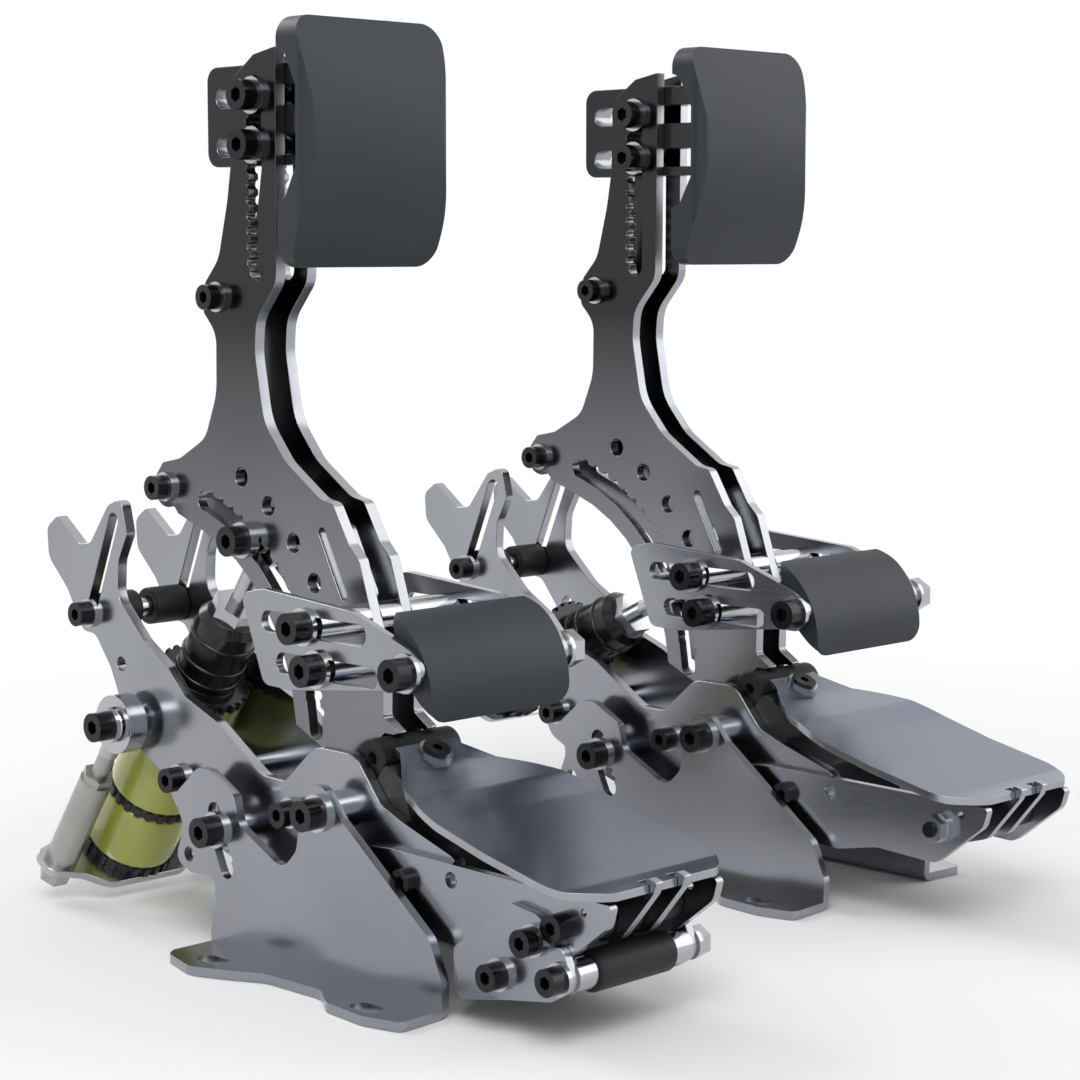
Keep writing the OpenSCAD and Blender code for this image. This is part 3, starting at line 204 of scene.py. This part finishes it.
# Painted, moulded and rubber surfaces: fine texture, soft tone changes
def fineTexture(name, look):
    material, nodes, links, shader = newMaterial(name)
    coords = objectCoords(nodes, links)
    grain = noise(nodes, links, coords, look["grainScale"], detail=5.0, rough=0.6)
    clouds = noise(nodes, links, coords, look.get("cloudScale", 25), detail=3.0)
    links.new(mixColours(nodes, links, remap(nodes, links, clouds, 0, 1), look["dark"], look["light"]),
              shader.inputs["Base Color"])
    links.new(remap(nodes, links, grain, look["rough"][0], look["rough"][1]), shader.inputs["Roughness"])
    links.new(bumpFrom(nodes, links, grain, look["bump"]), shader.inputs["Normal"])
    shader.inputs["Metallic"].default_value = look.get("metallic", 0.0)
    if "specular" in look:
        shader.inputs["Specular IOR Level"].default_value = look["specular"]
    if "coat" in look:
        shader.inputs["Coat Weight"].default_value = look["coat"]
        shader.inputs["Coat Roughness"].default_value = look.get("coatRough", 0.15)
    return material


finishes = {
    "polishedSheet": grainedMetal("polishedSheet", {
        "grain": (1, 1, 10), "grainScale": 220, "dark": (0.285, 0.295, 0.322), "light": (0.350, 0.362, 0.392),
        "rough": (0.16, 0.24), "bump": 0.018, "cloudScale": 11, "marks": 0.05}),
    "heelSheet": grainedMetal("heelSheet", {
        "grain": (1, 12, 1), "grainScale": 260, "dark": (0.150, 0.172, 0.225), "light": (0.186, 0.212, 0.272),
        "rough": (0.18, 0.25), "bump": 0.015, "cloudScale": 9, "marks": 0.05}),
    "armSheet": grainedMetal("armSheet", {
        "grain": (1, 1, 8), "grainScale": 220, "dark": (0.185, 0.190, 0.202), "light": (0.235, 0.241, 0.254),
        # painted dark reflection: the arm sheet is painted darker towards its top, between 0.125 m and 0.205
        # m high
        "paintedReflectionTone": (0.040, 0.041, 0.044), "paintedReflectionHeights": (0.125, 0.205),
        "rough": (0.15, 0.23), "bump": 0.015, "cloudScale": 8, "marks": 0.05}),
    "cutEdge": grainedMetal("cutEdge", {
        "grain": (14, 1, 1), "grainScale": 300, "dark": (0.30, 0.31, 0.33), "light": (0.44, 0.45, 0.475),
        "rough": (0.20, 0.28), "bump": 0.03, "marks": 0.02}),
    "brightMetal": grainedMetal("brightMetal", {
        "grain": (1, 6, 6), "grainScale": 200, "dark": (0.40, 0.41, 0.43), "light": (0.54, 0.55, 0.565),
        "rough": (0.12, 0.24), "bump": 0.04}),
    "rodMetal": grainedMetal("rodMetal", {
        "grain": (1, 4, 4), "grainScale": 150, "dark": (0.35, 0.345, 0.33), "light": (0.46, 0.455, 0.44),
        "rough": (0.28, 0.42), "bump": 0.05}),
    "springWire": grainedMetal("springWire", {
        "grain": (5, 5, 1), "grainScale": 260, "dark": (0.36, 0.37, 0.39), "light": (0.5, 0.51, 0.53),
        "rough": (0.22, 0.36), "bump": 0.06}),
    "blackOxide": grainedMetal("blackOxide", {
        "grain": (1, 1, 1), "grainScale": 500, "dark": (0.026, 0.026, 0.029), "light": (0.046, 0.046, 0.051),
        "rough": (0.15, 0.25), "bump": 0.03, "metallic": 0.9}),
    "padCoat": fineTexture("padCoat", {
        "grainScale": 1600, "dark": (0.016, 0.020, 0.025), "light": (0.023, 0.028, 0.034),
        "rough": (0.38, 0.48), "bump": 0.08, "metallic": 0.15, "cloudScale": 12, "specular": 0.35}),
    "blackPlastic": fineTexture("blackPlastic", {
        "grainScale": 900, "dark": (0.009, 0.009, 0.010), "light": (0.016, 0.016, 0.018),
        "rough": (0.36, 0.50), "bump": 0.12}),
    "glossyPlastic": fineTexture("glossyPlastic", {
        "grainScale": 700, "dark": (0.004, 0.004, 0.005), "light": (0.008, 0.008, 0.009),
        "rough": (0.18, 0.27), "bump": 0.04, "specular": 0.4}),
    "blackRubber": fineTexture("blackRubber", {
        "grainScale": 1100, "dark": (0.008, 0.008, 0.009), "light": (0.015, 0.015, 0.016),
        "rough": (0.42, 0.60), "bump": 0.14, "specular": 0.3}),
    "elastomer": fineTexture("elastomer", {
        "grainScale": 300, "dark": (0.30, 0.32, 0.045), "light": (0.43, 0.45, 0.085),
        "rough": (0.16, 0.26), "bump": 0.04, "cloudScale": 30, "coat": 0.8, "coatRough": 0.06}),
}
print("finishes made:", len(finishes))


# Solids carried over with broken edges

# Limits of a face's normal, the area above which a level face is no cut, and the length of the tab's slots
cutFaces = {"turned": 0.6, "level": 0.8, "wideArea": 0.0002, "slotReach": 0.035}


# Faces that show the brighter cut: of an upright sheet, of a lying one, or round the tab's rear slots
def isCut(face, kind, rear):
    if kind == "lying":
        return abs(face.normal.z) < cutFaces["turned"]
    sideways = abs(face.normal.x) < cutFaces["turned"]
    if kind == "rearSlots":
        return sideways and face.center.y > rear - cutFaces["slotReach"]
    wide = abs(face.normal.z) > cutFaces["level"] and face.area > cutFaces["wideArea"]
    return sideways and not wide


# Metres, then degrees
worked = {"mergeBelow": 0.000002, "flatWithin": 1.0, "brokenAbove": 32, "smoothBelow": 38}


def workedCopy(node, name, finish, edge, cut=None, segments=2, trimmer=None, flatness=100):
    source = frame["nodes"][node]
    piece = source.copy()
    piece.data = source.data.copy()
    piece.name = name
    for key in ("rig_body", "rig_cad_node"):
        if key in piece:
            del piece[key]
    scene.collection.objects.link(piece)
    piece.parent = None
    piece.matrix_world = Matrix.Identity(4)
    piece.hide_render = False
    piece.hide_viewport = False
    makeActive(piece)
    bpy.ops.object.mode_set(mode="EDIT")
    bpy.ops.mesh.select_all(action="SELECT")
    bpy.ops.mesh.remove_doubles(threshold=worked["mergeBelow"])
    bpy.ops.mesh.dissolve_limited(angle_limit=math.radians(worked["flatWithin"]))
    bpy.ops.object.mode_set(mode="OBJECT")
    piece.data.materials.clear()
    piece.data.materials.append(finishes[finish])
    if trimmer:
        trim = piece.modifiers.new("roundedPlan", "BOOLEAN")
        trim.operation = "INTERSECT"
        trim.solver = "EXACT"
        trim.object = trimmer
        applyModifiers(piece)
        bpy.data.objects.remove(trimmer)
    bevel = piece.modifiers.new("brokenEdges", "BEVEL")
    bevel.width = edge
    bevel.segments = segments
    bevel.limit_method = "ANGLE"
    bevel.angle_limit = math.radians(worked["brokenAbove"])
    applyModifiers(piece)
    if cut:
        piece.data.materials.append(finishes["cutEdge"])
        rear = max(vertex.co.y for vertex in piece.data.vertices)
        for face in piece.data.polygons:
            face.material_index = 1 if isCut(face, cut, rear) else 0
    makeActive(piece)
    bpy.ops.object.shade_smooth_by_angle(angle=math.radians(worked["smoothBelow"]))
    weighted = piece.modifiers.new("flatFaces", "WEIGHTED_NORMAL")  # keeps the sheets flat up to their edges
    weighted.mode = "FACE_AREA"
    weighted.weight = flatness
    weighted.keep_sharp = True
    applyModifiers(piece)
    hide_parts(node)
    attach(piece, bodyOf[node])
    return piece


heelPlate = {
    # Right half of its plan in millimetres, each corner with the reach of its rounding along both sides
    "plan": [(22, -119, 7), (34.5, -107, 7.5), (34.5, -44, 16), (12.5, -18, 0), (12.5, -11, 0)],
    "halfWidth": 34.5, "grown": 0.03, "low": 20, "high": 100, "steps": 8,
    "edge": 0.0003, "flatness": 50,
}


# Upright block with the heel plate's plan, its corners rounded
def heelTrimmer(pedal):
    corners = heelPlate["plan"] + [(-x, y, reach) for x, y, reach in reversed(heelPlate["plan"])]
    outline = []
    for i, (x, y, reach) in enumerate(corners):
        corner = Vector((x, y))
        before, after = Vector(corners[i - 1][:2]), Vector(corners[(i + 1) % len(corners)][:2])
        start = corner + (before - corner).normalized() * reach
        end = corner + (after - corner).normalized() * reach
        steps = heelPlate["steps"] if reach else 0
        for k in range(steps + 1):
            t = k / max(steps, 1)
            outline.append(start * (1 - t) ** 2 + corner * 2 * t * (1 - t) + end * t ** 2)
    deselect()
    bpy.ops.mesh.primitive_circle_add(vertices=len(outline), radius=1, fill_type="NGON")
    block = bpy.context.object
    grown = 1 + heelPlate["grown"] / heelPlate["halfWidth"]
    for vertex, (x, y) in zip(block.data.vertices, outline):
        vertex.co = at(pedal, x * grown, y, heelPlate["low"])
    bpy.ops.object.mode_set(mode="EDIT")
    bpy.ops.mesh.select_all(action="SELECT")
    height = (heelPlate["high"] - heelPlate["low"]) / 1000
    bpy.ops.mesh.extrude_region_move(TRANSFORM_OT_translate={"value": (0, 0, height)})
    bpy.ops.mesh.select_all(action="SELECT")
    bpy.ops.mesh.normals_make_consistent(inside=False)
    bpy.ops.object.mode_set(mode="OBJECT")
    return block


plateLooks = {
    "foot_left": ("polishedSheet", "polished_steel", 0.00035),
    "foot_right": ("polishedSheet", "polished_steel", 0.00035),
    "frame_left": ("polishedSheet", "polished_steel", 0.00035),
    "frame_right": ("polishedSheet", "polished_steel", 0.00035),
    "heel_sides": ("polishedSheet", "polished_steel", 0.00030),
    "link_plates": ("polishedSheet", "polished_steel", 0.00030),
    "arm_left": ("armSheet", "dark_steel", 0.00040),
    "arm_right": ("armSheet", "dark_steel", 0.00040),
    "lower_brackets": ("polishedSheet", "polished_steel", 0.00030),
    "pad_tab": ("armSheet", "dark_steel", 0.00035),
}
for pedal in pedalX:
    for part, (finish, slotName, edge) in plateLooks.items():
        node = pedal + "_" + part
        if node in bodyOf:
            cut = "rearSlots" if part == "pad_tab" else "upright"
            workedCopy(node, node + "_sheet", finish, edge, cut)
    workedCopy(pedal + "_heel_plate", pedal + "_heel_sheet", "heelSheet", heelPlate["edge"],
               "lying", trimmer=heelTrimmer(pedal), flatness=heelPlate["flatness"])
print("sheets done")

beads = {"at": (20.5, 26.5, 36.0), "reach": 0.0108, "thick": 0.0009, "round": 72, "section": 12}


# Raised turned beads round an adjuster, at millimetres along its unit
def turnBeads(piece, pedal):
    turn = unitAxis[pedal].to_track_quat("Z", "Y").to_euler()
    parts = [piece]
    for place in beads["at"]:
        deselect()
        bpy.ops.mesh.primitive_torus_add(major_segments=beads["round"], minor_segments=beads["section"],
                                         major_radius=beads["reach"], minor_radius=beads["thick"],
                                         location=onUnit(pedal, place), rotation=turn)
        bead = bpy.context.object
        bpy.ops.object.transform_apply(location=True, rotation=True, scale=True)
        bpy.ops.object.shade_smooth()
        bead.data.materials.append(finishes["glossyPlastic"])
        parts.append(bead)
    deselect()
    for part in parts:
        part.select_set(True)
    bpy.context.view_layer.objects.active = piece
    bpy.ops.object.join()


plainLooks = {
    "heel_block": ("blackPlastic", "black_plastic", 0.0004),
    "frame_screws": ("blackOxide", "black_oxide", 0.00035),
    "arm_screws": ("blackOxide", "black_oxide", 0.00035),
    "frame_spacers": ("brightMetal", "bright_metal", 0.00025),
    "arm_tubes": ("brightMetal", "bright_metal", 0.00025),
    "pivot_axle": ("springWire", "spring_steel", 0.0003),
    "main_pad": ("padCoat", "gunmetal", 0.0018),
    "lower_pad": ("padCoat", "gunmetal", 0.0018),
    "unit_base": ("brightMetal", "aluminium", 0.0004),
    "load_cell": ("blackPlastic", "black_plastic", 0.0002),
    "side_rods": ("rodMetal", "aluminium", 0.0003),
    "rod_ends": ("brightMetal", "bright_metal", 0.0003),
    "separator_low": ("blackPlastic", "black_plastic", 0.0002),
    "separator_high": ("blackPlastic", "black_plastic", 0.0002),
    "adjuster": ("glossyPlastic", "black_plastic", 0.0003),
    "push_rod": ("brightMetal", "spring_steel", 0.0003),
}
for pedal in pedalX:
    for part, (finish, slotName, edge) in plainLooks.items():
        node = pedal + "_" + part
        if node in bodyOf:
            segments = 4 if finish == "padCoat" else 2
            piece = workedCopy(node, node + "_worked", finish, edge, segments=segments)
            if part == "adjuster":
                turnBeads(piece, pedal)
print("turned and moulded parts done")


# Rubber, elastomer and spring pieces

# Sides and rings of every soft roll, its rim's bevel, and angles in degrees
roll = {"sides": 64, "rings": 7, "rimShare": 0.9, "rimSteps": 4, "rimAbove": 50, "smoothBelow": 40}


# Round soft piece between two points on one axis, with a rounded rim and a slight belly
def softRoll(name, start, end, radius, bore, belly, rim, finish):
    start, end = Vector(start), Vector(end)
    deselect()
    turn = (end - start).to_track_quat("Z", "Y").to_euler()
    length = (end - start).length
    bpy.ops.mesh.primitive_cylinder_add(vertices=roll["sides"], radius=radius, depth=length,
                                        end_fill_type="NGON", location=(start + end) / 2, rotation=turn)
    piece = bpy.context.object
    piece.name = name
    bpy.ops.object.mode_set(mode="EDIT")
    bpy.ops.mesh.select_all(action="DESELECT")
    bpy.ops.mesh.select_mode(type="FACE")
    bpy.ops.object.mode_set(mode="OBJECT")
    for face in piece.data.polygons:
        face.select = len(face.vertices) > 4
    bpy.ops.object.mode_set(mode="EDIT")
    bpy.ops.mesh.inset(thickness=rim)
    bpy.ops.mesh.inset(thickness=radius - rim - bore)
    bpy.ops.mesh.bridge_edge_loops()
    bpy.ops.mesh.select_all(action="SELECT")
    bpy.ops.object.mode_set(mode="OBJECT")
    makeActive(piece)
    bpy.ops.object.transform_apply(location=True, rotation=True, scale=True)
    axis = (end - start).normalized()
    bpy.ops.object.mode_set(mode="EDIT")
    for i in range(1, roll["rings"]):
        bpy.ops.mesh.select_all(action="SELECT")
        bpy.ops.mesh.bisect(plane_co=start + axis * length * i / roll["rings"], plane_no=axis)
    bpy.ops.object.mode_set(mode="OBJECT")
    for vertex in piece.data.vertices:
        along = (vertex.co - start).dot(axis)
        foot = start + axis * along
        out = vertex.co - foot
        if out.length > radius - rim / 2:  # the outer wall only, not the inset rings
            share = along / length
            vertex.co = foot + out * (1 + belly * math.sin(math.pi * share) / radius)
    bevel = piece.modifiers.new("roundedRim", "BEVEL")
    bevel.width = rim * roll["rimShare"]
    bevel.segments = roll["rimSteps"]
    bevel.limit_method = "ANGLE"
    bevel.angle_limit = math.radians(roll["rimAbove"])
    applyModifiers(piece)
    bpy.ops.object.mode_set(mode="EDIT")
    bpy.ops.mesh.select_all(action="SELECT")
    bpy.ops.mesh.normals_make_consistent(inside=False)
    bpy.ops.object.mode_set(mode="OBJECT")
    bpy.ops.object.shade_smooth_by_angle(angle=math.radians(roll["smoothBelow"]))
    piece.data.materials.clear()
    piece.data.materials.append(finishes[finish])
    return piece


def joinPieces(pieces, name):
    deselect()
    for piece in pieces:
        piece.select_set(True)
    bpy.context.view_layer.objects.active = pieces[0]
    if len(pieces) > 1:
        bpy.ops.object.join()
    joined = bpy.context.object
    joined.name = name
    return joined


def standFor(piece, slotName, *nodes):
    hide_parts(*nodes)
    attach(piece, bodyOf[nodes[0]])
    return piece


# Rubber sleeves and rollers: spans across the pedal, then y and height of the axis, in millimetres
rubber = {
    "stops": {"spans": [(-3, -17.1), (3, 17.1)], "axis": (132.5, 102.5), "radius": 0.0065, "bore": 0.0035},
    "bar": {"spans": [(-16.5, 16.5)], "axis": (-9, 70.3), "radius": 0.0062, "bore": 0.002},
    "rollers": {"spans": [(-21.1, -7.5), (-4.5, 4.5), (7.5, 21.1)], "axis": (-99.5, 35.6),
                "radius": 0.00625, "bore": 0.0027},
    "lowRoller": {"spans": [(-16, 16)], "axis": (-102, 21.2), "radius": 0.00625, "bore": 0.0027},
    "rim": 0.0007,
}


def rubberRolls(pedal, part):
    look = rubber[part]
    return [softRoll(pedal + "Roll", at(pedal, a, *look["axis"]), at(pedal, b, *look["axis"]), look["radius"],
                     look["bore"], 0.0, rubber["rim"], "blackRubber") for a, b in look["spans"]]


for pedal in pedalX:
    stops = joinPieces(rubberRolls(pedal, "stops"), pedal + "_stop_sleeves")
    standFor(stops, "black_rubber", pedal + "_travel_stops")
    bar = joinPieces(rubberRolls(pedal, "bar"), pedal + "_rest_bar")
    standFor(bar, "black_rubber", pedal + "_rest_bumper")
    rolls = rubberRolls(pedal, "rollers")
    if pedal == "brake":
        rolls += rubberRolls(pedal, "lowRoller")
    standFor(joinPieces(rolls, pedal + "_rollers"), "black_rubber", pedal + "_heel_rollers")
print("rubber parts done")

elastomer = {
    "stack": [(-60.5, -38.0), (-34.5, -12.0), (-8.5, 14.0)],  # millimetres along the brake's unit
    "carriers": ("brake_unit", "brake_lower_separator", "brake_upper_separator"),  # what each one stands on
    "clear": 0.02,  # a hair of room to the separator above at full press
    "radius": 0.016, "bore": 0.0055, "belly": 0.0003, "rim": 0.0012,
}
for i, (a, b) in enumerate(elastomer["stack"]):
    disc = softRoll("brake_elastomer_%d" % (i + 1), onUnit("brake", a), onUnit("brake", b),
                    elastomer["radius"], elastomer["bore"], elastomer["belly"], elastomer["rim"], "elastomer")
    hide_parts("brake_elastomers")
    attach(disc, elastomer["carriers"][i])
    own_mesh(disc)

softRing = {"low": 6.0, "high": 14.0, "radius": 0.015, "bore": 0.0055, "belly": 0.0002, "rim": 0.001}
ringPiece = softRoll("throttle_elastomer_ring", onUnit("throttle", softRing["low"]),
                     onUnit("throttle", softRing["high"]), softRing["radius"], softRing["bore"],
                     softRing["belly"], softRing["rim"], "elastomer")
standFor(ringPiece, "elastomer", "throttle_soft_ring")

spring = {
    "curls": 4, "wire": 0.00125, "mean": 0.0125, "low": -22.75, "high": 4.75, "seats": (-24.0, 6.0),
    "wireSides": 12, "stepsPerCurl": 40, "mergeBelow": 0.000005,
}
deselect()
bpy.ops.mesh.primitive_circle_add(vertices=spring["wireSides"], radius=spring["wire"], fill_type="NOTHING",
                                  location=(spring["mean"], 0, 0), rotation=(math.radians(90), 0, 0))
coil = bpy.context.object
coil.name = "throttle_coil"
bpy.ops.object.transform_apply(location=True, rotation=True, scale=True)
screw = coil.modifiers.new("coil", "SCREW")
screw.axis = "Z"
screw.angle = math.radians(360 * spring["curls"])
screw.screw_offset = (spring["high"] - spring["low"]) / 1000
screw.steps = spring["stepsPerCurl"] * spring["curls"]
screw.render_steps = screw.steps
applyModifiers(coil)
bpy.ops.object.mode_set(mode="EDIT")
bpy.ops.mesh.select_all(action="SELECT")
bpy.ops.mesh.remove_doubles(threshold=spring["mergeBelow"])
bpy.ops.mesh.select_all(action="DESELECT")
bpy.ops.mesh.select_mode(type="EDGE")
bpy.ops.mesh.select_non_manifold()
bpy.ops.mesh.edge_face_add()
bpy.ops.mesh.select_all(action="SELECT")
bpy.ops.mesh.normals_make_consistent(inside=False)
bpy.ops.object.mode_set(mode="OBJECT")
coilTilt = unitAngle["throttle"] - math.radians(90)
coil.matrix_world = Matrix.Translation(onUnit("throttle", spring["low"])) @ Matrix.Rotation(coilTilt, 4, "X")
bpy.ops.object.transform_apply(location=True, rotation=True, scale=True)
bpy.ops.object.shade_smooth()
coil.data.materials.append(finishes["springWire"])
standFor(coil, "spring_steel", "throttle_spring")
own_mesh(coil)
print("elastomers and spring done")

# Floor, light and camera

stage = {
    "size": 40, "drop": 0.0002, "colour": (0.86, 0.86, 0.87, 1), "rough": 0.9,
    "fades": (0.22, 0.6),  # metres from the middle over which the floor turns white
    "lit": 0.55, "seen": 1.0,  # strength of the room on the pedals, and where it is looked at
}
deselect()
bpy.ops.mesh.primitive_plane_add(size=stage["size"], location=(0, 0, -stage["drop"]))
floor = bpy.context.object
floor.name = "paleFloor"
floorMaterial, floorNodes, floorLinks, floorShader = newMaterial("paleFloor")
floorShader.inputs["Base Color"].default_value = stage["colour"]
floorShader.inputs["Roughness"].default_value = stage["rough"]
floor.data.materials.append(floorMaterial)
floorCoords = floorNodes.new("ShaderNodeTexCoord")
away = floorNodes.new("ShaderNodeVectorMath")
away.operation = "LENGTH"
floorLinks.new(floorCoords.outputs["Object"], away.inputs[0])
fade = remap(floorNodes, floorLinks, away.outputs["Value"], 0, 1, *stage["fades"])
share = floorNodes.new("ShaderNodeMath")
share.operation = "MULTIPLY"
floorLinks.new(fade, share.inputs[0])
floorLinks.new(seenRays(floorNodes, floorLinks), share.inputs[1])
glow = floorNodes.new("ShaderNodeEmission")
glow.inputs["Color"].default_value = (1, 1, 1, 1)
blendFloor = floorNodes.new("ShaderNodeMixShader")
floorLinks.new(share.outputs[0], blendFloor.inputs[0])
floorLinks.new(floorShader.outputs["BSDF"], blendFloor.inputs[1])
floorLinks.new(glow.outputs["Emission"], blendFloor.inputs[2])
floorLinks.new(blendFloor.outputs["Shader"], floorNodes["Material Output"].inputs["Surface"])

world = bpy.data.worlds.new("paleRoom")
scene.world = world
world.use_nodes = True
worldNodes, worldLinks = world.node_tree.nodes, world.node_tree.links
background = worldNodes["Background"]
background.inputs["Color"].default_value = (1, 1, 1, 1)
strength = worldNodes.new("ShaderNodeMapRange")
strength.inputs["To Min"].default_value = stage["lit"]
strength.inputs["To Max"].default_value = stage["seen"]
worldLinks.new(seenRays(worldNodes, worldLinks), strength.inputs["Value"])
worldLinks.new(strength.outputs["Result"], background.inputs["Strength"])

lampsAim = (0, 0, 0.12)
lamps = {
    "keyLamp": {"place": (-0.9, -0.9, 1.3), "size": 0.9, "watts": 14},
    "fillLamp": {"place": (1.2, -0.8, 0.8), "size": 1.2, "watts": 6},
    "backLamp": {"place": (-0.2, 1.3, 1.1), "size": 0.8, "watts": 9},
}
for name, lamp in lamps.items():
    light = bpy.data.lights.new(name, "AREA")
    light.energy = lamp["watts"]
    light.size = lamp["size"]
    holder = bpy.data.objects.new(name, light)
    scene.collection.objects.link(holder)
    holder.location = lamp["place"]
    aim = Vector(lampsAim) - holder.location
    holder.rotation_euler = aim.to_track_quat("-Z", "Y").to_euler()

view = {
    "lens": 86.5, "sensor": 36, "near": 0.05,
    "place": (-0.6305, -0.607 + rowShift, 0.2283), "turn": (83.56, 0, -45),
}
cameraData = bpy.data.cameras.new("photoCamera")
cameraData.lens = view["lens"]
cameraData.sensor_width = view["sensor"]
cameraData.clip_start = view["near"]
camera = bpy.data.objects.new("photoCamera", cameraData)
scene.collection.objects.link(camera)
camera.location = view["place"]
camera.rotation_euler = [math.radians(angle) for angle in view["turn"]]
scene.camera = camera
scene.view_settings.view_transform = "Standard"
print("floor, light and camera done")
